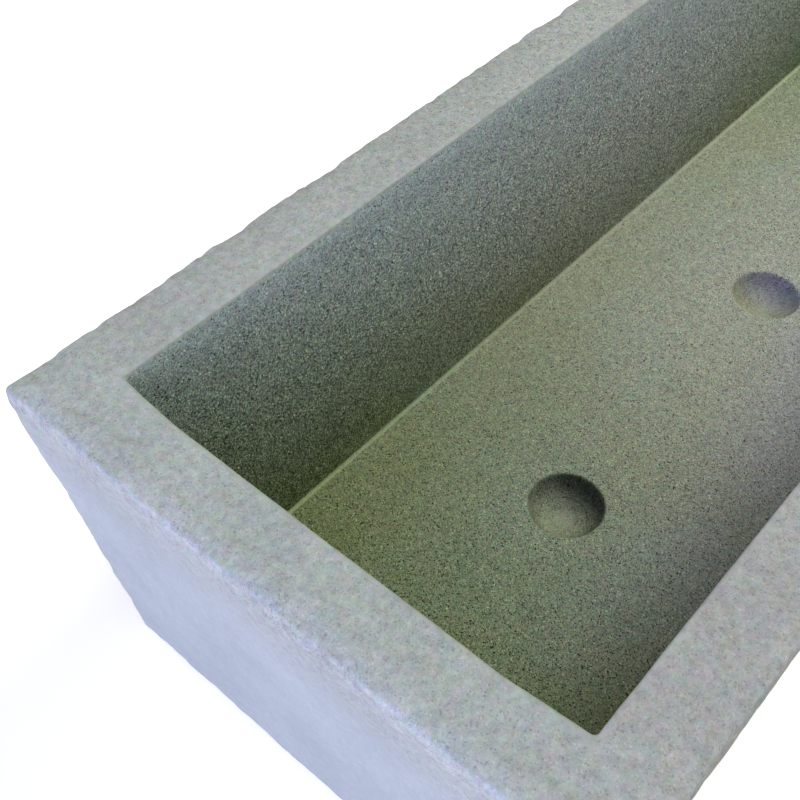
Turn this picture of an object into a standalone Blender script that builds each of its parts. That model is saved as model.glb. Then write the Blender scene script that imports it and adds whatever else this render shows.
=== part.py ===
"""Cast stone trough planter: one thick-walled block with battered sides and an open cavity.

The floor has a row of round drain dishes. Under each dish the stone that is meant to be
knocked out for drainage is a solid of its own, seated in a tapered hole.
Frame: metres, +X along the trough, +Z up, origin at the middle of the underside.
"""
import math

import bmesh
import bpy

# Outer block
LENGTH = 1.040
WIDTH = 0.360
HEIGHT = 0.228
BATTER = 0.0175             # how far each outer face leans in, from rim to underside
RIM_OUTER_ARRIS = 0.003     # rounding of the rim's outer edge
RIM_OUTER_CORNER = 0.001    # corner radius of the flat rim, inside that rounding
FOOT_ARRIS = 0.010          # rounding of the underside's edge
FOOT_CORNER = 0.002         # corner radius of the flat underside

# Cavity
WALL = 0.040                # rim thickness
FLOOR_THICKNESS = 0.027
CAVITY_DRAFT = 0.0055       # how far each inner face leans in, from rim to floor
CAVITY_CORNER = 0.002       # corner radius where two inner faces meet
RIM_INNER_ARRIS = 0.0015
COVE = 0.003                # fillet where the inner faces meet the floor
FLOOR_CORNER = 0.0005       # corner radius of the flat floor

# Drain dishes, in a row along the floor
DISH_COUNT = 3
DISH_SPACING = 0.266
DISH_DIAMETER = 0.0525
DISH_DEPTH = 0.017
DISH_LIP = 0.002            # rounding of the dish's edge

# Knock-outs under the dishes
KNOCKOUT_DIAMETER = 0.030   # at the dish
KNOCKOUT_TAPER = 0.002      # loss of radius, from dish to underside
KNOCKOUT_RECESS = 0.003     # how far its lower face stands back from the underside
SEAT_GAP = 0.0003

CUT_OVERRUN = 0.010         # how far a cutter runs past the face that it opens

CORNER_STEPS = 6
ARRIS_STEPS = 4
ROUND_STEPS = 48
DISH_STEPS = 8
LIP_STEPS = 4
SHARP_ANGLE = math.radians(40)

STONE_COLOUR = (0.42, 0.44, 0.38, 1.0)
KNOCKOUT_COLOUR = (0.38, 0.40, 0.33, 1.0)
STONE_ROUGHNESS = 0.92

FLOOR_Z = FLOOR_THICKNESS
CAVITY_DEPTH = HEIGHT - FLOOR_THICKNESS
FACE_TOP_Z = HEIGHT - RIM_OUTER_ARRIS      # the widest level of the block
DISH_RADIUS = DISH_DIAMETER / 2
BOWL_RADIUS = (DISH_RADIUS ** 2 + DISH_DEPTH ** 2) / (2 * DISH_DEPTH)
BOWL_CENTRE_Z = FLOOR_Z - DISH_DEPTH + BOWL_RADIUS
KNOCKOUT_RADIUS = KNOCKOUT_DIAMETER / 2


def clear_scene():
    for thing in list(bpy.data.objects):
        bpy.data.objects.remove(thing)


def stone_material(name, colour):
    material = bpy.data.materials.new(name)
    material.use_nodes = True
    shader = material.node_tree.nodes["Principled BSDF"]
    shader.inputs["Base Color"].default_value = colour
    shader.inputs["Roughness"].default_value = STONE_ROUGHNESS
    shader.inputs["Metallic"].default_value = 0.0
    return material


def object_from(bm, name, material):
    bmesh.ops.recalc_face_normals(bm, faces=bm.faces)
    mesh = bpy.data.meshes.new(name)
    bm.to_mesh(mesh)
    bm.free()
    mesh.materials.append(material)
    mesh.shade_smooth()
    mesh.set_sharp_from_angle(angle=SHARP_ANGLE)
    made = bpy.data.objects.new(name, mesh)
    bpy.context.scene.collection.objects.link(made)
    return made


def ring_loop(bm, half_x, half_y, corner, z):
    """Vertices of a rectangle with round corners, at height z."""
    loop = []
    for quarter, (side_x, side_y) in enumerate(((1, 1), (-1, 1), (-1, -1), (1, -1))):
        for step in range(CORNER_STEPS + 1):
            angle = math.pi / 2 * (quarter + step / CORNER_STEPS)
            x = side_x * (half_x - corner) + corner * math.cos(angle)
            y = side_y * (half_y - corner) + corner * math.sin(angle)
            loop.append(bm.verts.new((x, y, z)))
    return loop


def bridge(bm, lower, upper):
    count = len(lower)
    for i in range(count):
        k = (i + 1) % count
        bm.faces.new((lower[i], lower[k], upper[k], upper[i]))


def outer_loop(bm, z, inset):
    """A ring on the battered outer face, or inside it by inset."""
    rise = min(z / FACE_TOP_Z, 1)
    lean = BATTER * (1 - rise)
    foot_radius = FOOT_ARRIS + FOOT_CORNER
    rim_radius = RIM_OUTER_ARRIS + RIM_OUTER_CORNER
    corner = foot_radius + (rim_radius - foot_radius) * rise
    return ring_loop(bm, LENGTH / 2 - lean - inset, WIDTH / 2 - lean - inset, corner - inset, z)


def cavity_loop(bm, z, inset):
    """A ring on the cavity's inner face, or inside it by inset, where a negative inset is in the wall."""
    lean = CAVITY_DRAFT * (HEIGHT - z) / CAVITY_DEPTH
    half_x = LENGTH / 2 - WALL - lean
    half_y = WIDTH / 2 - WALL - lean
    corner = max(CAVITY_CORNER - inset, FLOOR_CORNER)
    return ring_loop(bm, half_x - inset, half_y - inset, corner, z)


def quarter_turn():
    return [math.pi / 2 * step / ARRIS_STEPS for step in range(ARRIS_STEPS + 1)]


def blank_block(material):
    """The trough before its drain dishes are cut: underside, outer faces, rim, cavity and floor."""
    bm = bmesh.new()
    loops = []
    for angle in quarter_turn():
        loops.append(outer_loop(bm, FOOT_ARRIS * (1 - math.cos(angle)), FOOT_ARRIS * (1 - math.sin(angle))))
    for angle in quarter_turn():
        z = HEIGHT - RIM_OUTER_ARRIS * (1 - math.sin(angle))
        loops.append(outer_loop(bm, z, RIM_OUTER_ARRIS * (1 - math.cos(angle))))
    for angle in quarter_turn():
        z = HEIGHT - RIM_INNER_ARRIS * (1 - math.cos(angle))
        loops.append(cavity_loop(bm, z, -RIM_INNER_ARRIS * (1 - math.sin(angle))))
    for angle in quarter_turn():
        loops.append(cavity_loop(bm, FLOOR_Z + COVE * (1 - math.sin(angle)), COVE * (1 - math.cos(angle))))
    bm.faces.new(loops[0])
    for lower, upper in zip(loops, loops[1:]):
        bridge(bm, lower, upper)
    bm.faces.new(loops[-1])
    return object_from(bm, "trough_body", material)


def turned_solid(name, profile, material):
    """Turns a profile of (radius, height) about Z. It runs from the axis at the bottom to the axis at the top."""
    bm = bmesh.new()
    bottom = bm.verts.new((0, 0, profile[0][1]))
    top = bm.verts.new((0, 0, profile[-1][1]))
    loops = []
    for radius, z in profile[1:-1]:
        turn = [2 * math.pi * step / ROUND_STEPS for step in range(ROUND_STEPS)]
        loops.append([bm.verts.new((radius * math.cos(a), radius * math.sin(a), z)) for a in turn])
    for lower, upper in zip(loops, loops[1:]):
        bridge(bm, lower, upper)
    for i in range(ROUND_STEPS):
        k = (i + 1) % ROUND_STEPS
        bm.faces.new((bottom, loops[0][k], loops[0][i]))
        bm.faces.new((top, loops[-1][i], loops[-1][k]))
    return object_from(bm, name, material)


def bowl_z(radius):
    return BOWL_CENTRE_Z - math.sqrt(BOWL_RADIUS ** 2 - radius ** 2)


def seat_radius(z):
    """Radius of the tapered hole under a dish, widest where it meets the dish."""
    share = (bowl_z(KNOCKOUT_RADIUS) - z) / bowl_z(KNOCKOUT_RADIUS)
    return KNOCKOUT_RADIUS - KNOCKOUT_TAPER * share


def bowl_arc(start_radius, end_radius):
    start = math.asin(start_radius / BOWL_RADIUS)
    end = math.asin(end_radius / BOWL_RADIUS)
    arc = []
    for step in range(DISH_STEPS + 1):
        angle = start + (end - start) * step / DISH_STEPS
        arc.append((BOWL_RADIUS * math.sin(angle), BOWL_CENTRE_Z - BOWL_RADIUS * math.cos(angle)))
    return arc


def drain_cutter(material):
    """The shape of a dish and of the tapered hole below it."""
    lip_centre_z = FLOOR_Z - DISH_LIP
    lip_reach = BOWL_RADIUS + DISH_LIP
    fall = BOWL_CENTRE_Z - lip_centre_z
    lip_centre = math.sqrt(lip_reach ** 2 - fall ** 2)
    lip_start = math.atan2(fall, -lip_centre)
    bowl_edge = lip_centre * BOWL_RADIUS / lip_reach
    lip = []
    for step in range(LIP_STEPS + 1):
        angle = lip_start + (math.pi / 2 - lip_start) * step / LIP_STEPS
        lip.append((lip_centre + DISH_LIP * math.cos(angle), lip_centre_z + DISH_LIP * math.sin(angle)))
    below = -CUT_OVERRUN
    above = FLOOR_Z + CUT_OVERRUN
    profile = [(0, below), (seat_radius(below), below)]
    profile += bowl_arc(KNOCKOUT_RADIUS, bowl_edge)
    profile += lip[1:]
    profile += [(lip_centre, above), (0, above)]
    cutter = turned_solid("drain_cutter", profile, material)
    cutter.hide_render = True
    cutter.display_type = "WIRE"
    return cutter


def knockout_mesh(material):
    """The stone plug that fills the tapered hole and carries the middle of the dish."""
    plug_radius = KNOCKOUT_RADIUS - SEAT_GAP
    low = KNOCKOUT_RECESS
    profile = [(0, low), (seat_radius(low) - SEAT_GAP, low)]
    profile += list(reversed(bowl_arc(0, plug_radius)))
    return turned_solid("drain_knockout_1", profile, material)


def cut(body, cutter):
    modifier = body.modifiers.new(cutter.name, "BOOLEAN")
    modifier.operation = "DIFFERENCE"
    modifier.solver = "EXACT"
    modifier.object = cutter


def dish_places():
    first = -DISH_SPACING * (DISH_COUNT - 1) / 2
    return [first + DISH_SPACING * i for i in range(DISH_COUNT)]


def another(original, name):
    """A second object that shares the first one's mesh."""
    twin = bpy.data.objects.new(name, original.data)
    bpy.context.scene.collection.objects.link(twin)
    twin.hide_render = original.hide_render
    twin.display_type = original.display_type
    return twin


def main():
    clear_scene()
    stone = stone_material("cast_stone", STONE_COLOUR)
    web_stone = stone_material("knockout_stone", KNOCKOUT_COLOUR)
    body = blank_block(stone)
    cutters = [drain_cutter(stone)]
    knockouts = [knockout_mesh(web_stone)]
    for number in range(2, DISH_COUNT + 1):
        cutters.append(another(cutters[0], f"drain_cutter_{number}"))
        knockouts.append(another(knockouts[0], f"drain_knockout_{number}"))
    for cutter, knockout, x in zip(cutters, knockouts, dish_places()):
        cutter.location.x = x
        knockout.location.x = x
        cut(body, cutter)


main()
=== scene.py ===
"""Looks of the cast stone trough planter.

The trough's skin is one fine closed mesh with the uneven surface of hand-filled cast stone. Each drain
knock-out has a piece of its own. Metres, +X along the trough, +Z up, origin at the middle of the underside.
"""
import math

import bpy
import numpy as np
from mathutils import Euler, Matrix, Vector, noise
from mathutils.geometry import delaunay_2d_cdt


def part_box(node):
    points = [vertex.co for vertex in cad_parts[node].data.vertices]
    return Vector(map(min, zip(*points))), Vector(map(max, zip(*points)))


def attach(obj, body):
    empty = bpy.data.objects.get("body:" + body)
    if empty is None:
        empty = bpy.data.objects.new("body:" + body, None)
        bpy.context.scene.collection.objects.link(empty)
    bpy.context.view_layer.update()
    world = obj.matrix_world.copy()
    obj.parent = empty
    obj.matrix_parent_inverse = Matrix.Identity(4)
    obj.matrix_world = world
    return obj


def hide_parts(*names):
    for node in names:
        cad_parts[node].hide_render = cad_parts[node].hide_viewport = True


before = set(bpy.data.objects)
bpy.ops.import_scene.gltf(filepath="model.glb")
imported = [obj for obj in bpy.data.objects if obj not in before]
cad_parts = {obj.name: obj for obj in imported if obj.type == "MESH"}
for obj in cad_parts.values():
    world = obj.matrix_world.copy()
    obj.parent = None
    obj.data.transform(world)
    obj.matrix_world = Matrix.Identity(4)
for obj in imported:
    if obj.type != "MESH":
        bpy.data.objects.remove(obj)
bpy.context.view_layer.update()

BODY_NODE = "trough_body"
KNOCKOUT_NODES = sorted(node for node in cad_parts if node.startswith("drain_knockout_"))

# Outer block and cavity, as in the frame's solids
BODY_LOW, BODY_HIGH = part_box(BODY_NODE)
LENGTH = BODY_HIGH.x - BODY_LOW.x
WIDTH = BODY_HIGH.y - BODY_LOW.y
HEIGHT = BODY_HIGH.z - BODY_LOW.z
BATTER = 0.0175
RIM_OUTER_ARRIS = 0.003
RIM_OUTER_CORNER = 0.001
FOOT_ARRIS = 0.010
FOOT_CORNER = 0.002
WALL = 0.040
FLOOR_Z = 0.027
CAVITY_DRAFT = 0.0055
CAVITY_CORNER = 0.002
RIM_INNER_ARRIS = 0.0015
COVE = 0.003
FLOOR_CORNER = 0.0005
FACE_TOP_Z = HEIGHT - RIM_OUTER_ARRIS
CAVITY_DEPTH = HEIGHT - FLOOR_Z

# Drain dishes and knock-outs
DISH_PLACES = [(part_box(node)[0].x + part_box(node)[1].x) / 2 for node in KNOCKOUT_NODES]
DISH_SPACING = DISH_PLACES[1] - DISH_PLACES[0]
DISH_RADIUS = 0.02625
DISH_DEPTH = 0.017
DISH_LIP = 0.002
KNOCKOUT_RADIUS = 0.015
KNOCKOUT_TAPER = 0.002
KNOCKOUT_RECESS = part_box(KNOCKOUT_NODES[0])[0].z
SEAM = 0.00001              # gap between a knock-out and the dish round it
BOWL_RADIUS = (DISH_RADIUS ** 2 + DISH_DEPTH ** 2) / (2 * DISH_DEPTH)
BOWL_CENTRE_Z = FLOOR_Z - DISH_DEPTH + BOWL_RADIUS
BOWL_LOW_Z = BOWL_CENTRE_Z - math.sqrt(BOWL_RADIUS ** 2 - KNOCKOUT_RADIUS ** 2)
DISH_SKIRT = 0.0035         # flat ring of the floor that is meshed with a dish

# Fineness of the skin
MESH_STEP = 0.003
FLOOR_STEP = 0.0032
UNDERSIDE_STEP = 0.014
SHEET_MARGIN = 0.8          # room between a flat sheet's grid and its edges, in steps
SHEET_JITTER = 0.2          # unevenness of that grid, in steps
TRIANGLES_INSIDE = 1        # the triangulation's kind of output
MERGE_DISTANCE = 1e-7       # points nearer than this become one in it
CORNER_STEPS = 5
ARRIS_STEPS = 5
ROUND_STEPS = 96
BOWL_STEPS = 14
SHARP_ANGLE = math.radians(50)

# Unevenness of the surface: wavelength, height and place in the noise of each layer
SWELL = (0.090, 0.0009, (3, 7, 1))
RIPPLE = (0.026, 0.0007, (11, 2, 5))
GRIT = (0.0075, 0.00050, (1, 13, 8))
WALL_SHARE = 0.30           # share of that unevenness on the cavity's walls
FLOOR_SHARE = 0.14          # and on its floor

# Wear along the rim's outer arris and the upright corners
WEAR = (0.030, 0.0016, (5, 5, 9))
CHIPS = (0.0085, 0.0015, (2, 9, 4))
ARRIS_REACH = 0.0110
ARRIS_LOSS = 0.0013
UPRIGHT_REACH = 0.012

# Extra stone on the end walls at the cavity's corners
CORNER_FILL = 0.0035        # its thickness
FILL_ACROSS = 0.042         # how far it reaches along the end wall, from the long wall's inner face
FILL_ALONG = (0.006, 0.050) # where it begins and ends to fade, inward from the end wall's inner face
FILL_LEVELS = (FLOOR_Z + 0.010, HEIGHT - 0.060)     # it grows from the first level to the second
KEPT_RIM = WALL * 0.25      # outer part of the rim that it leaves as it is

# Pattern of the stone, in waves or cells per metre
PATCH_SCALE = 8
BLOTCH_SCALE = 22
TINT_SCALE = 170
MOTTLE_SCALE = 240
PIT_SCALE = 800
SAND_SCALE = 1280
GRAIN_SCALE = 1600
PIT_DEPTH = 0.0005
DAMP_AND_SHADE_REACH = 0.16           # how far the damp stain and the painted shade of the cavity's ends reach from an end of the cavity
ROUGHNESS = 0.92
SPECULAR = 0.25

# The photograph's camera
CAMERA_AT = (-0.65863, -0.20566, 0.63009)
CAMERA_TURN = (40.944, 0.475, -48.648)
LENS_MM = 50.0
SENSOR_MM = 36.0
CLIP_START = 0.01

# Studio
STAGE_HALF = 12.0           # half the width of its floor
STAGE_DROP = 0.0005         # gap between that floor and the trough's underside
STAGE_ROUGHNESS = 0.9
GLOW_REACH = (1.2, 3.0)     # the floor's glow for the camera grows from the first distance to the second
GLOW_STRENGTH = (0.45, 1.0)
SKY_STRENGTH = 0.06
WHITE_STRENGTH = 1.0

rng = np.random.default_rng(7)


# Shapes

def ring(half_x, half_y, corner, z):
    """Points round a rectangle with round corners, as many on every ring."""
    side_x = round(LENGTH / MESH_STEP)
    side_y = round(WIDTH / MESH_STEP)
    centres = ((1, 1), (-1, 1), (-1, -1), (1, -1))
    counts = (side_x, side_y, side_x, side_y)
    points = []
    for quarter, (sign_x, sign_y) in enumerate(centres):
        centre = np.array((sign_x * (half_x - corner), sign_y * (half_y - corner)))
        angles = math.pi / 2 * (quarter + np.arange(CORNER_STEPS + 1) / CORNER_STEPS)
        arc = centre + corner * np.column_stack((np.cos(angles), np.sin(angles)))
        points.append(arc)
        next_x, next_y = centres[(quarter + 1) % 4]
        turn = math.pi / 2 * (quarter + 1)
        next_centre = np.array((next_x * (half_x - corner), next_y * (half_y - corner)))
        goal = next_centre + corner * np.array((math.cos(turn), math.sin(turn)))
        share = (np.arange(1, counts[quarter]) / counts[quarter])[:, None]
        points.append(arc[-1] + (goal - arc[-1]) * share)
    flat = np.concatenate(points)
    return np.column_stack((flat, np.full(len(flat), z)))


def outer_ring(z, inset):
    rise = min(z / FACE_TOP_Z, 1)
    lean = BATTER * (1 - rise)
    foot = FOOT_ARRIS + FOOT_CORNER
    rim = RIM_OUTER_ARRIS + RIM_OUTER_CORNER
    corner = foot + (rim - foot) * rise
    return ring(LENGTH / 2 - lean - inset, WIDTH / 2 - lean - inset, corner - inset, z)


def cavity_ring(z, inset):
    lean = CAVITY_DRAFT * (HEIGHT - z) / CAVITY_DEPTH
    half_x = LENGTH / 2 - WALL - lean
    half_y = WIDTH / 2 - WALL - lean
    corner = max(CAVITY_CORNER - inset, FLOOR_CORNER)
    return ring(half_x - inset, half_y - inset, corner, z)


def between(first, last, step):
    """Even levels from first to last, without the two ends."""
    count = max(round(abs(last - first) / step), 1)
    return [first + (last - first) * i / count for i in range(1, count)]


def body_rings():
    """All rings of the skin, from the edge of the underside over the rim and down to the flat floor."""
    quarter = [math.pi / 2 * i / ARRIS_STEPS for i in range(ARRIS_STEPS + 1)]
    rings = [outer_ring(FOOT_ARRIS * (1 - math.cos(a)), FOOT_ARRIS * (1 - math.sin(a))) for a in quarter]
    rings += [outer_ring(z, 0) for z in between(FOOT_ARRIS, FACE_TOP_Z, MESH_STEP)]
    for a in quarter:
        z = HEIGHT - RIM_OUTER_ARRIS * (1 - math.sin(a))
        rings.append(outer_ring(z, RIM_OUTER_ARRIS * (1 - math.cos(a))))
    outer_edge = rings[-1]
    inner_edge = cavity_ring(HEIGHT, -RIM_INNER_ARRIS)
    rings += [outer_edge + (inner_edge - outer_edge) * share for share in between(0, 1, MESH_STEP / WALL)]
    for a in quarter:
        z = HEIGHT - RIM_INNER_ARRIS * (1 - math.cos(a))
        rings.append(cavity_ring(z, -RIM_INNER_ARRIS * (1 - math.sin(a))))
    rings += [cavity_ring(z, 0) for z in between(HEIGHT - RIM_INNER_ARRIS, FLOOR_Z + COVE, MESH_STEP)]
    rings += [cavity_ring(FLOOR_Z + COVE * (1 - math.sin(a)), COVE * (1 - math.cos(a))) for a in quarter]
    return rings


def seat_radius(z):
    """Radius of the tapered hole under a dish."""
    return KNOCKOUT_RADIUS - KNOCKOUT_TAPER * (BOWL_LOW_Z - z) / BOWL_LOW_Z


def circle(x, radius, z):
    turn = 2 * math.pi * np.arange(ROUND_STEPS) / ROUND_STEPS
    return np.column_stack((x + radius * np.cos(turn), radius * np.sin(turn), np.full(ROUND_STEPS, z)))


def bowl_profile(start_radius, end_radius):
    start = math.asin(start_radius / BOWL_RADIUS)
    end = math.asin(end_radius / BOWL_RADIUS)
    angles = [start + (end - start) * i / BOWL_STEPS for i in range(BOWL_STEPS + 1)]
    return [(BOWL_RADIUS * math.sin(a), BOWL_CENTRE_Z - BOWL_RADIUS * math.cos(a)) for a in angles]


def dish_profile():
    """Radius and height from the floor round a dish, over its lip, down to the edge of its knock-out."""
    lip_centre_z = FLOOR_Z - DISH_LIP
    fall = BOWL_CENTRE_Z - lip_centre_z
    lip_centre = math.sqrt((BOWL_RADIUS + DISH_LIP) ** 2 - fall ** 2)
    lip_end = math.atan2(fall, -lip_centre)
    bowl_edge = lip_centre * BOWL_RADIUS / (BOWL_RADIUS + DISH_LIP)
    profile = [(lip_centre + DISH_SKIRT, FLOOR_Z), (lip_centre + DISH_SKIRT / 2, FLOOR_Z)]
    for i in range(ARRIS_STEPS + 1):
        a = math.pi / 2 + (lip_end - math.pi / 2) * i / ARRIS_STEPS
        profile.append((lip_centre + DISH_LIP * math.cos(a), lip_centre_z + DISH_LIP * math.sin(a)))
    return profile + bowl_profile(bowl_edge, KNOCKOUT_RADIUS)[1:]


class Skin:
    """Vertices and faces of a mesh in the making."""

    def __init__(self):
        self.points = []
        self.faces = []
        self.size = 0

    def add(self, points):
        first = self.size
        self.points.append(np.asarray(points, float))
        self.size += len(points)
        return np.arange(first, self.size)

    def band(self, lower, upper):
        """Quads between two closed loops of as many vertices."""
        rolled_lower = np.roll(lower, -1)
        rolled_upper = np.roll(upper, -1)
        self.faces += np.column_stack((lower, rolled_lower, rolled_upper, upper)).tolist()

    def bands(self, loops):
        for lower, upper in zip(loops, loops[1:]):
            self.band(lower, upper)

    def sheet(self, outline, holes, z, step):
        """A flat sheet of triangles inside an outline and round circular holes, which are given as loops."""
        loops = [outline] + [loop for loop, _, _ in holes]
        known = np.concatenate(loops)
        cloud = self.all_points()[known][:, :2]
        margin = step * SHEET_MARGIN
        low = cloud[:len(outline)].min(axis=0) + margin
        high = cloud[:len(outline)].max(axis=0) - margin
        grid_x = np.linspace(low[0], high[0], round((high[0] - low[0]) / step) + 1)
        grid_y = np.linspace(low[1], high[1], round((high[1] - low[1]) / step) + 1)
        inner = np.stack(np.meshgrid(grid_x, grid_y), axis=-1).reshape(-1, 2)
        inner = inner + rng.uniform(-SHEET_JITTER, SHEET_JITTER, inner.shape) * step
        for _, x, radius in holes:
            inner = inner[np.hypot(inner[:, 0] - x, inner[:, 1]) > radius + margin]
        added = self.add(np.column_stack((inner, np.full(len(inner), z))))
        index = np.concatenate((known, added))
        coordinates = [Vector(p) for p in np.concatenate((cloud, inner))]
        edges = []
        first = 0
        for loop in loops:
            edges += [(first + i, first + (i + 1) % len(loop)) for i in range(len(loop))]
            first += len(loop)
        filled = delaunay_2d_cdt(coordinates, edges, [], TRIANGLES_INSIDE, MERGE_DISTANCE)
        spots, _, triangles, origins, _, _ = filled
        for triangle in triangles:
            middle = sum((spots[i] for i in triangle), Vector((0, 0))) / 3
            if all(math.hypot(middle.x - x, middle.y) > radius for _, x, radius in holes):
                self.faces.append([int(index[origins[i][0]]) for i in triangle])

    def all_points(self):
        return np.concatenate(self.points)


def mesh_object(name, points, faces, material):
    mesh = bpy.data.meshes.new(name)
    mesh.from_pydata([tuple(p) for p in points], [], faces)
    mesh.validate()
    mesh.materials.append(material)
    mesh.shade_smooth()
    mesh.set_sharp_from_angle(angle=SHARP_ANGLE)
    made = bpy.data.objects.new(name, mesh)
    bpy.context.scene.collection.objects.link(made)
    return made


def smooth_steps(value, low, high):
    share = np.clip((value - low) / (high - low), 0, 1)
    return share * share * (3 - 2 * share)


def noise_layer(points, layer):
    wave, height, shift = layer
    return height * np.array([noise.noise(Vector(p) / wave + Vector(shift)) for p in points])


def fill_corners(points):
    """Thickens the end walls towards the cavity's corners, most at the rim, as hand filling leaves them."""
    x, y, z = points.T
    from_end = LENGTH / 2 - np.abs(x)
    from_side = WIDTH / 2 - np.abs(y)
    across = np.clip(1 - (from_side - WALL) / FILL_ACROSS, 0, 1)
    across *= smooth_steps(from_side, KEPT_RIM, WALL * 0.9)
    fade_start, fade_end = FILL_ALONG
    along = smooth_steps(from_end, KEPT_RIM, WALL)
    along *= 1 - smooth_steps(from_end, WALL + fade_start, WALL + fade_end)
    upward = smooth_steps(z, *FILL_LEVELS)
    moved = points.copy()
    moved[:, 0] -= np.sign(x) * CORNER_FILL * across * along * upward
    return moved


def vertex_normals(points, faces):
    mesh = bpy.data.meshes.new("normals")
    mesh.from_pydata([tuple(p) for p in points], [], faces)
    normals = np.empty(len(points) * 3)
    mesh.vertex_normals.foreach_get("vector", normals)
    bpy.data.meshes.remove(mesh)
    return normals.reshape(-1, 3)


def roughen(points, faces):
    """Moves each point along its normal, more on the outside than inside, and wears the outer edges."""
    x, y, z = points.T
    above_foot = smooth_steps(z, 0, FOOT_ARRIS)
    depth_in = np.minimum(LENGTH / 2 - np.abs(x), WIDTH / 2 - np.abs(y))
    outside = 1 - smooth_steps(depth_in, WALL * 0.5, WALL * 0.9)
    on_floor = 1 - smooth_steps(z, FLOOR_Z, FLOOR_Z + COVE * 4)
    within = WALL_SHARE + (FLOOR_SHARE - WALL_SHARE) * on_floor
    lift = noise_layer(points, SWELL) + noise_layer(points, RIPPLE) + noise_layer(points, GRIT)
    lift *= (within + (1 - within) * outside) * above_foot
    down_face = 1 - smooth_steps(HEIGHT - z, 0, ARRIS_REACH)
    arris = down_face * (1 - smooth_steps(depth_in, 0, ARRIS_REACH))
    corner_out = np.hypot(np.abs(x) - LENGTH / 2, np.abs(y) - WIDTH / 2)
    lean_out = BATTER * (1 - z / HEIGHT) * math.sqrt(2)
    upright = 1 - smooth_steps(corner_out - lean_out, 0, UPRIGHT_REACH)
    worn = np.maximum(noise_layer(points, WEAR), 0) * np.maximum(arris, upright)
    chips = np.maximum(noise_layer(points, CHIPS), 0) * arris
    lift -= (worn + chips + ARRIS_LOSS * arris) * above_foot
    return points + vertex_normals(points, faces) * lift[:, None]


def trough_skin(material):
    skin = Skin()
    loops = [skin.add(points) for points in body_rings()]
    skin.bands(loops)
    dish_holes = []
    seat_holes = []
    profile = dish_profile()
    for x in DISH_PLACES:
        dish = [skin.add(circle(x, radius, z)) for radius, z in profile]
        seat = [skin.add(circle(x, seat_radius(z), z)) for z in between(BOWL_LOW_Z, 0, MESH_STEP) + [0]]
        skin.bands(dish + seat)
        dish_holes.append((dish[0], x, profile[0][0]))
        seat_holes.append((seat[-1], x, seat_radius(0)))
    skin.sheet(loops[-1], dish_holes, FLOOR_Z, FLOOR_STEP)
    above = len(skin.faces)
    skin.sheet(loops[0], seat_holes, 0, UNDERSIDE_STEP)
    skin.faces[above:] = [face[::-1] for face in skin.faces[above:]]
    points = roughen(fill_corners(skin.all_points()), skin.faces)
    return mesh_object("trough_stone", points, skin.faces, material)


def knockout_skin(number, x, material):
    """The tapered plug under a dish, which carries the middle of the dish."""
    skin = Skin()
    foot = [(seat_radius(KNOCKOUT_RECESS) - SEAM, KNOCKOUT_RECESS)]
    side = [(seat_radius(z) - SEAM, z) for z in between(KNOCKOUT_RECESS, BOWL_LOW_Z, MESH_STEP)]
    top = bowl_profile(KNOCKOUT_RADIUS - SEAM, 0)[:-1]
    loops = [skin.add(circle(x, radius, z)) for radius, z in foot + side + top]
    skin.bands(loops)
    low = int(skin.add([(x, 0, KNOCKOUT_RECESS)])[0])
    high = int(skin.add([(x, 0, BOWL_CENTRE_Z - BOWL_RADIUS)])[0])
    for i in range(ROUND_STEPS):
        k = (i + 1) % ROUND_STEPS
        skin.faces.append([low, int(loops[0][k]), int(loops[0][i])])
        skin.faces.append([high, int(loops[-1][i]), int(loops[-1][k])])
    points = roughen(skin.all_points(), skin.faces)
    return mesh_object(f"knockout_stone_{number}", points, skin.faces, material)


# Materials

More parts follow.
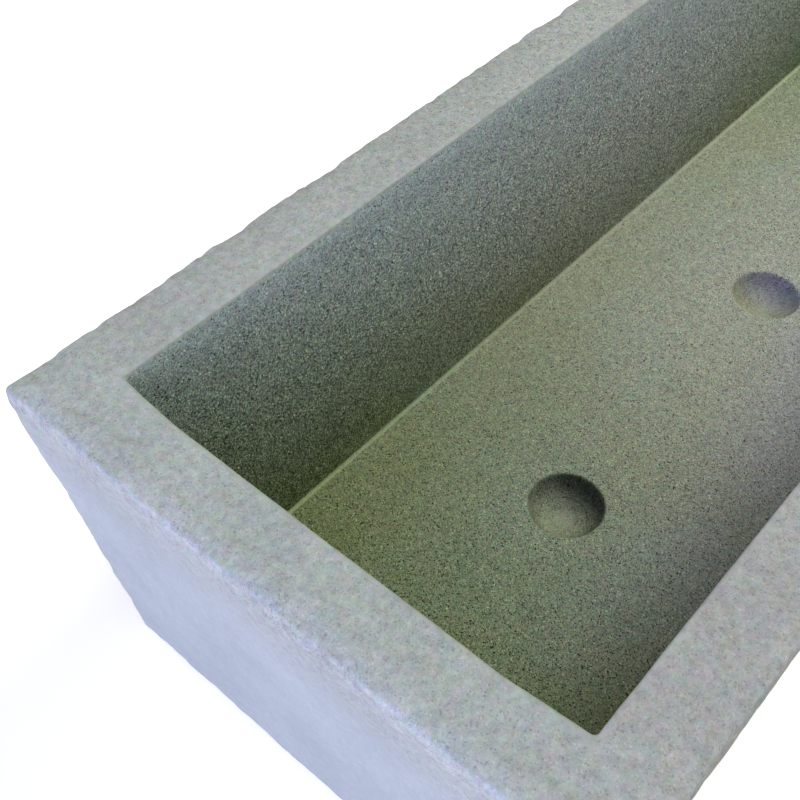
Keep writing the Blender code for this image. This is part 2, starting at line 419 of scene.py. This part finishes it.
class Nodes:
    """Short calls that build one material's node tree."""

    def __init__(self, name):
        self.material = bpy.data.materials.new(name)
        self.material.use_nodes = True
        self.tree = self.material.node_tree
        self.shader = self.tree.nodes["Principled BSDF"]
        self.output = self.tree.nodes["Material Output"]

    def new(self, kind):
        return self.tree.nodes.new(kind)

    def link(self, source, target):
        self.tree.links.new(source, target)

    def fill(self, socket, value):
        if isinstance(value, bpy.types.NodeSocket):
            self.link(value, socket)
        else:
            socket.default_value = value

    def math(self, operation, first, second=0.0, clamp=False):
        node = self.new("ShaderNodeMath")
        node.operation = operation
        node.use_clamp = clamp
        self.fill(node.inputs[0], first)
        self.fill(node.inputs[1], second)
        return node.outputs[0]

    def times(self, product, *factors):
        for factor in factors:
            product = self.math("MULTIPLY", product, factor)
        return product

    def plus(self, total, *terms):
        for term in terms:
            total = self.math("ADD", total, term)
        return total

    def ramp(self, value, low, high, low_to=0.0, high_to=1.0):
        """Goes from low_to to high_to while the value goes from low to high, and no further."""
        node = self.new("ShaderNodeMapRange")
        self.fill(node.inputs["Value"], value)
        self.fill(node.inputs["From Min"], low)
        self.fill(node.inputs["From Max"], high)
        self.fill(node.inputs["To Min"], low_to)
        self.fill(node.inputs["To Max"], high_to)
        return node.outputs["Result"]

    def blend(self, share, first, second):
        return self.ramp(share, 0, 1, first, second)

    def mix(self, share, first, second, blend="MIX"):
        node = self.new("ShaderNodeMix")
        node.data_type = "RGBA"
        node.blend_type = blend
        self.fill(node.inputs["Factor"], share)
        self.fill(node.inputs["A"], first)
        self.fill(node.inputs["B"], second)
        return node.outputs["Result"]

    def tinted(self, colour, share, tint):
        return self.mix(share, colour, tint, "MULTIPLY")

    def noise(self, where, scale, detail=2.0, rough=0.5, output="Fac"):
        node = self.new("ShaderNodeTexNoise")
        self.link(where, node.inputs["Vector"])
        node.inputs["Scale"].default_value = scale
        node.inputs["Detail"].default_value = detail
        node.inputs["Roughness"].default_value = rough
        return node.outputs[output]

    def cells(self, where, scale):
        """A random colour for each cell."""
        node = self.new("ShaderNodeTexVoronoi")
        self.link(where, node.inputs["Vector"])
        node.inputs["Scale"].default_value = scale
        return node.outputs["Color"]

    def parts(self, kind, source):
        node = self.new(kind)
        self.link(source, node.inputs[0])
        return node.outputs


def rgb(red, green, blue):
    return (red, green, blue, 1.0)


BARE_DARK = rgb(0.350, 0.378, 0.376)
BARE_LIGHT = rgb(0.382, 0.410, 0.410)
LINING_TOP = rgb(0.354, 0.424, 0.444)
LINING_FOOT = rgb(0.310, 0.349, 0.280)
LINING_FLOOR = rgb(0.314, 0.349, 0.326)
COOL_PATCH = rgb(0.312, 0.362, 0.366)
# Green of the damp stain, which also stands for painted shade low in the cavity's ends
DAMP_AND_SHADE_GREEN = rgb(0.103, 0.150, 0.030)
RUST = rgb(0.26, 0.10, 0.05)
STAGE_GREY = rgb(0.80, 0.80, 0.80)
SKY_BLUE = rgb(0.93, 0.96, 1.0)
WHITE = rgb(1.0, 1.0, 1.0)

# Tints that the stone's colours are multiplied by; those of the floor and the dishes are painted light and
# shade
LOW_Y_RIM_TINT = rgb(0.95, 0.92, 0.93)
END_RIM_TINT = rgb(1.015, 1.045, 1.045)
HIGH_FACE_TINT = rgb(0.96, 0.93, 0.89)
# Painted shade along the floor's sides and painted light in its middle
FLOOR_SIDE_SHADE_TINT = rgb(0.95, 0.98, 0.86)
FLOOR_MIDDLE_LIGHT_TINT = rgb(1.09, 1.11, 1.13)
# Painted shade on the floor along the -Y wall, darkest in its corners at the ends
LOW_Y_FLOOR_SHADE_TINT = rgb(0.955, 0.885, 1.30)
LOW_Y_CORNER_SHADE_TINT = rgb(0.38, 0.34, 0.30)
# Painted light on each dish's -X side and painted shade on its +X side
DISH_LIT_SIDE_TINT = rgb(1.04, 1.03, 0.87)
DISH_SHADED_SIDE_TINT = rgb(0.88, 0.87, 1.08)
MIDDLE_TINT = rgb(1.05, 0.985, 0.99)


class Places:
    """Node values that tell where on the trough a point is."""

    def __init__(self, n):
        self.where = n.new("ShaderNodeTexCoord").outputs["Object"]
        self.x, self.y, z = n.parts("ShaderNodeSeparateXYZ", self.where)
        # Distances below the rim, above the cavity's floor, and inward from the outer block
        self.down = n.math("SUBTRACT", HEIGHT, z)
        self.up = n.math("SUBTRACT", z, FLOOR_Z)
        self.from_end = n.math("SUBTRACT", LENGTH / 2, n.math("ABSOLUTE", self.x))
        self.from_side = n.math("SUBTRACT", WIDTH / 2, n.math("ABSOLUTE", self.y))
        self.depth_in = n.math("MINIMUM", self.from_end, self.from_side)
        # 1 inside the cavity and 0 on the rim, the outer faces and the underside
        past_rim = n.ramp(self.depth_in, WALL * 0.86, WALL * 0.94)
        over_base = n.ramp(z, BOWL_LOW_Z * 0.6, BOWL_LOW_Z * 0.8)
        self.inside = n.times(past_rim, n.ramp(self.down, 0.0005, 0.0040), over_base)
        # From 0 at the rim to 1 on the cavity's floor
        self.low_down = n.ramp(self.down, 0, CAVITY_DEPTH)
        # 1 on the cavity's walls, and 1 in its dishes
        self.standing = n.times(n.ramp(self.up, 0.0010, 0.0040), self.inside)
        self.in_dish = n.times(n.ramp(self.up, -0.0005, -0.0030), self.inside)
        # 1 at the end walls, and less and less away from them
        into_cavity = n.math("SUBTRACT", self.from_end, WALL)
        self.end_share = n.math("EXPONENT", n.times(into_cavity, -1 / DAMP_AND_SHADE_REACH), clamp=True)
        # 1 on the rim and inside, and less on the smoother outer faces
        self.grainy = n.math("MAXIMUM", self.inside, n.ramp(self.down, 0.050, 0.008, 0.35, 1.0))
        # Narrow smooth bands: the cove at the foot of the walls and the rim's inner arris
        wall_foot = WALL + CAVITY_DRAFT
        off_wall = n.ramp(self.depth_in, wall_foot + 0.0027, wall_foot + 0.0016)
        self.cove = n.times(n.ramp(self.up, 0.0027, 0.0016), off_wall, self.inside)
        rim_edge = n.ramp(self.depth_in, WALL - 0.0035, WALL - 0.0015)
        self.arris = n.times(n.ramp(self.down, 0.0030, 0.0015), rim_edge)
        self.trowelled = n.math("MAXIMUM", self.cove, self.arris)
        # 1 along the rim's outer arris, where the casting is spotted and worn
        self.edge = n.times(n.ramp(self.depth_in, 0.0080, 0.0030), n.ramp(self.down, 0.0200, 0.0060))


def bare_colour(n, at, blotch):
    """The rim, the outer faces and the underside."""
    bare = n.mix(n.ramp(blotch, 0.35, 0.65), BARE_DARK, BARE_LIGHT)
    bare = n.tinted(bare, n.ramp(at.y, -0.120, -0.150), LOW_Y_RIM_TINT)
    bare = n.tinted(bare, n.ramp(at.from_end, 0.060, 0.035), END_RIM_TINT)
    high_face = n.times(n.ramp(at.down, 0.065, 0.025), n.ramp(at.down, 0.002, 0.006))
    return n.tinted(bare, high_face, HIGH_FACE_TINT)


def floor_light_and_shade_tint(n, at):
    """Painted light and shade on the floor and its dishes, as a tint, with none on the walls."""
    # Painted shade towards the long walls, painted light in the floor's middle
    tint = n.mix(n.ramp(at.from_side, WALL + 0.040, WIDTH / 2 - 0.020), FLOOR_SIDE_SHADE_TINT, FLOOR_MIDDLE_LIGHT_TINT)
    # Painted shade: bluer and darker along the -Y wall, darkest near the ends
    tint = n.tinted(tint, n.ramp(at.y, -0.020, -0.090), LOW_Y_FLOOR_SHADE_TINT)
    tint = n.tinted(tint, n.times(n.ramp(at.y, -0.050, -0.115), at.end_share), LOW_Y_CORNER_SHADE_TINT)
    # Painted light and shade in each dish: lighter and warmer on its -X side, darker and bluer on its +X side
    dish_number = n.math("ROUND", n.math("DIVIDE", at.x, DISH_SPACING))
    dish_x = n.math("SUBTRACT", at.x, n.times(dish_number, DISH_SPACING))
    dish_light_and_shade = n.mix(n.ramp(dish_x, -0.020, 0.020), DISH_LIT_SIDE_TINT, DISH_SHADED_SIDE_TINT)
    return n.mix(at.standing, n.mix(at.in_dish, tint, dish_light_and_shade), WHITE)


def damp_and_shade_share(n, at, blotch):
    """How green and dark the lining gets, partly a damp stain and partly painted shade: most low in the
    cavity's ends, and some along the foot of the long walls.
    """
    towards_end = n.ramp(at.end_share, 0.05, 0.35, 0.55, 1.0)
    wall_foot = n.times(n.ramp(at.up, 0.075, 0, 0, 0.46), at.standing, towards_end)
    damp_and_shade = n.math("MAXIMUM", n.times(at.low_down, at.end_share), wall_foot)
    damp_and_shade = n.plus(damp_and_shade, n.times(wall_foot, 0.25))
    return n.math("MULTIPLY", damp_and_shade, n.ramp(blotch, 0.3, 0.7, 0.85, 1.15), clamp=True)


def lining_colour(n, at, blotch):
    """The cavity's walls and floor, cooler towards the rim, with painted light and shade on the floor and in
    the dishes, under a green stain that is partly damp and partly painted shade.
    """
    lining = n.mix(at.low_down, LINING_TOP, n.mix(at.standing, LINING_FLOOR, LINING_FOOT))
    patch = n.ramp(n.noise(at.where, PATCH_SCALE), 0.42, 0.62, 0, 0.75)
    lining = n.mix(n.times(patch, at.low_down), lining, COOL_PATCH)
    # Painted light and shade on the floor and in the dishes
    lining = n.tinted(lining, 1.0, floor_light_and_shade_tint(n, at))
    lining = n.tinted(lining, n.ramp(at.end_share, 0.30, 0.05), MIDDLE_TINT)
    # Green damp stain, which also paints the shade low in the ends and along the walls' foot
    return n.mix(damp_and_shade_share(n, at, blotch), lining, DAMP_AND_SHADE_GREEN)


def grain_contrast(n, at):
    on_floor = n.ramp(at.end_share, 0.05, 0.80, 0.64, 1.16)
    on_wall = n.ramp(at.low_down, 0, 0.5, 0.62, 1.95)
    on_rim = n.ramp(at.from_end, 0.12, 0.42, 0.20, 0.42)
    contrast = n.blend(at.inside, on_rim, n.blend(at.standing, on_floor, on_wall))
    return n.times(contrast, n.blend(at.trowelled, 1.0, 0.3), at.grainy, n.blend(at.in_dish, 1.0, 0.7))


def stone_level(n, at, mottle, sand_red, sand_green):
    """Brightness about 1: sand grains, flecks and clouding, then a paler cove that is partly painted
    highlight, a slightly lighter inner arris, painted light at the walls' tops, and painted shade at the
    walls' ends and under the dishes' lips.
    """
    grain = n.noise(at.where, GRAIN_SCALE, detail=1, rough=0.7)
    speckle = n.plus(n.ramp(grain, 0.25, 0.75, -0.38, 0.38), n.blend(sand_red, -0.40, 0.40))
    flecks = n.plus(n.ramp(sand_green, 0.05, 0.10, -1.05, 0), n.ramp(sand_green, 0.93, 0.98, 0, 0.85))
    speckle = n.times(n.plus(speckle, flecks), grain_contrast(n, at))
    cloud_strength = n.blend(at.inside, n.blend(at.edge, 1.2, 1.5), 0.9)
    clouding = n.times(n.ramp(mottle, 0.3, 0.7, -0.10, 0.10), at.grainy, cloud_strength)
    # Paler cove, partly smoother lighter stone and partly painted highlight, most towards the ends
    cove = n.times(at.cove, n.blend(at.end_share, 0.15, 1.55))
    # Painted shade under each dish's lip, darker towards the ends
    lip_shade = n.ramp(at.end_share, 0.05, 0.26, -0.1, -0.42)
    painted_under_lip_shade = n.times(at.in_dish, n.ramp(at.up, -0.0130, -0.0070), lip_shade)
    # Painted shade on the walls towards the ends
    painted_end_shade = n.times(at.standing, at.end_share, -0.21)
    # Painted light on the walls just under the rim
    painted_wall_top_light = n.times(n.ramp(at.down, 0.018, 0.002, 0, 0.24), at.standing)
    level = n.plus(clouding, 1.0, speckle, cove, painted_under_lip_shade, painted_end_shade, painted_wall_top_light, n.times(at.arris, 0.03))
    return n.math("MAXIMUM", level, 0.06)


def stone_relief(n, at, mottle):
    """Shading normal with the stone's pits, weak on the outer faces."""
    pits = n.times(n.noise(at.where, PIT_SCALE, detail=1), n.blend(at.trowelled, 1.0, 0.3))
    bump = n.new("ShaderNodeBump")
    bump.inputs["Distance"].default_value = PIT_DEPTH
    n.link(n.blend(at.inside, n.ramp(at.down, 0.0040, 0.0010, 0.04, 0.15), 1.0), bump.inputs["Strength"])
    n.link(n.plus(pits, n.times(mottle, 0.5)), bump.inputs["Height"])
    return bump.outputs[0]


def stone_material(name):
    """Cast stone: sand grains of many shades, soft mottling, a green damp stain low in the cavity that is
    partly painted shade, and painted light and shade inside the cavity.
    """
    n = Nodes(name)
    at = Places(n)
    blotch = n.noise(at.where, BLOTCH_SCALE, detail=3)
    mottle = n.noise(at.where, MOTTLE_SCALE)
    tint = n.noise(at.where, TINT_SCALE, output="Color")
    sand = n.cells(at.where, SAND_SCALE)
    sand_red, sand_green, sand_blue = n.parts("ShaderNodeSeparateColor", sand)
    colour = n.mix(at.inside, bare_colour(n, at, blotch), lining_colour(n, at, blotch))
    colour = n.mix(n.blend(at.edge, n.times(at.grainy, 0.16), 0.15), colour, tint, "OVERLAY")
    colour = n.mix(n.blend(at.inside, 0.02, 0.09), colour, sand, "OVERLAY")
    shade = n.new("ShaderNodeVectorMath")
    shade.operation = "SCALE"
    n.link(colour, shade.inputs[0])
    n.link(stone_level(n, at, mottle, sand_red, sand_green), shade.inputs["Scale"])
    rusty = n.times(n.ramp(sand_blue, 0.993, 0.997), n.blend(at.inside, 0.2, 0.8))
    n.link(n.mix(rusty, shade.outputs[0], RUST), n.shader.inputs["Base Color"])
    n.link(stone_relief(n, at, mottle), n.shader.inputs["Normal"])
    n.shader.inputs["Roughness"].default_value = ROUGHNESS
    n.shader.inputs["Specular IOR Level"].default_value = SPECULAR
    return n.material


def floor_material():
    """Pale floor that the camera sees as white wherever it isn't shaded."""
    n = Nodes("floor_pale")
    n.shader.inputs["Base Color"].default_value = STAGE_GREY
    n.shader.inputs["Roughness"].default_value = STAGE_ROUGHNESS
    # Far from the trough, where the lamps don't reach, the floor is white for the camera too
    reach = n.new("ShaderNodeVectorMath")
    reach.operation = "LENGTH"
    n.link(n.new("ShaderNodeTexCoord").outputs["Object"], reach.inputs[0])
    strength = n.ramp(reach.outputs["Value"], *GLOW_REACH, *GLOW_STRENGTH)
    camera_ray = n.new("ShaderNodeLightPath").outputs["Is Camera Ray"]
    glow = n.new("ShaderNodeEmission")
    n.link(n.times(camera_ray, strength), glow.inputs["Strength"])
    both = n.new("ShaderNodeAddShader")
    n.link(n.shader.outputs[0], both.inputs[0])
    n.link(glow.outputs[0], both.inputs[1])
    n.link(both.outputs[0], n.output.inputs["Surface"])
    return n.material


# Stage

def make_floor():
    half = STAGE_HALF
    corners = [(-half, -half, 0), (half, -half, 0), (half, half, 0), (-half, half, 0)]
    floor = mesh_object("studio_floor", corners, [(0, 1, 2, 3)], floor_material())
    floor.location.z = -STAGE_DROP


def background(tree, colour, strength):
    node = tree.nodes.new("ShaderNodeBackground")
    node.inputs["Color"].default_value = colour
    node.inputs["Strength"].default_value = strength
    return node.outputs[0]


def make_world():
    """White for the camera. As light, an even pale sky."""
    world = bpy.data.worlds.new("studio")
    bpy.context.scene.world = world
    world.use_nodes = True
    tree = world.node_tree
    tree.nodes.clear()
    choose = tree.nodes.new("ShaderNodeMixShader")
    light_path = tree.nodes.new("ShaderNodeLightPath")
    output = tree.nodes.new("ShaderNodeOutputWorld")
    tree.links.new(light_path.outputs["Is Camera Ray"], choose.inputs[0])
    tree.links.new(background(tree, SKY_BLUE, SKY_STRENGTH), choose.inputs[1])
    tree.links.new(background(tree, WHITE, WHITE_STRENGTH), choose.inputs[2])
    tree.links.new(choose.outputs[0], output.inputs[0])


def area_light(name, at, size, watts, colour):
    """A round lamp that faces the middle of the trough."""
    lamp = bpy.data.lights.new(name, "AREA")
    lamp.shape = "DISK"
    lamp.size = size
    lamp.energy = watts
    lamp.color = colour
    made = bpy.data.objects.new(name, lamp)
    made.location = at
    facing = Vector((0, 0, HEIGHT / 2)) - Vector(at)
    made.rotation_euler = facing.to_track_quat("-Z", "Y").to_euler()
    bpy.context.scene.collection.objects.link(made)


def make_lights():
    area_light("warm_key", (1.96, -0.45, 2.59), 1.3, 88, (1.0, 0.985, 0.74))
    area_light("cool_side", (-3.01, 0.0, 1.19), 1.6, 102, (0.71, 0.715, 1.0))
    area_light("front_fill", (-1.03, -2.83, 1.19), 1.6, 28, (0.96, 0.98, 1.0))
    area_light("back_fill", (0.0, 3.01, 1.19), 1.6, 14, (1.0, 1.0, 0.98))


def make_camera():
    camera = bpy.data.cameras.new("camera")
    camera.lens = LENS_MM
    camera.sensor_width = SENSOR_MM
    camera.clip_start = CLIP_START
    made = bpy.data.objects.new("camera", camera)
    made.location = CAMERA_AT
    made.rotation_euler = Euler([math.radians(a) for a in CAMERA_TURN], "XYZ")
    bpy.context.scene.collection.objects.link(made)
    bpy.context.scene.camera = made


def main():
    bpy.context.scene.view_settings.view_transform = "Standard"
    make_camera()
    make_world()
    make_lights()
    make_floor()
    body_stone = stone_material("stone_body")
    body = trough_skin(body_stone)
    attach(body, "root")
    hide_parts(BODY_NODE)
    for number, (node, x) in enumerate(zip(KNOCKOUT_NODES, DISH_PLACES), start=1):
        knockout = knockout_skin(number, x, body_stone)
        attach(knockout, "root")
        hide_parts(node)


main()
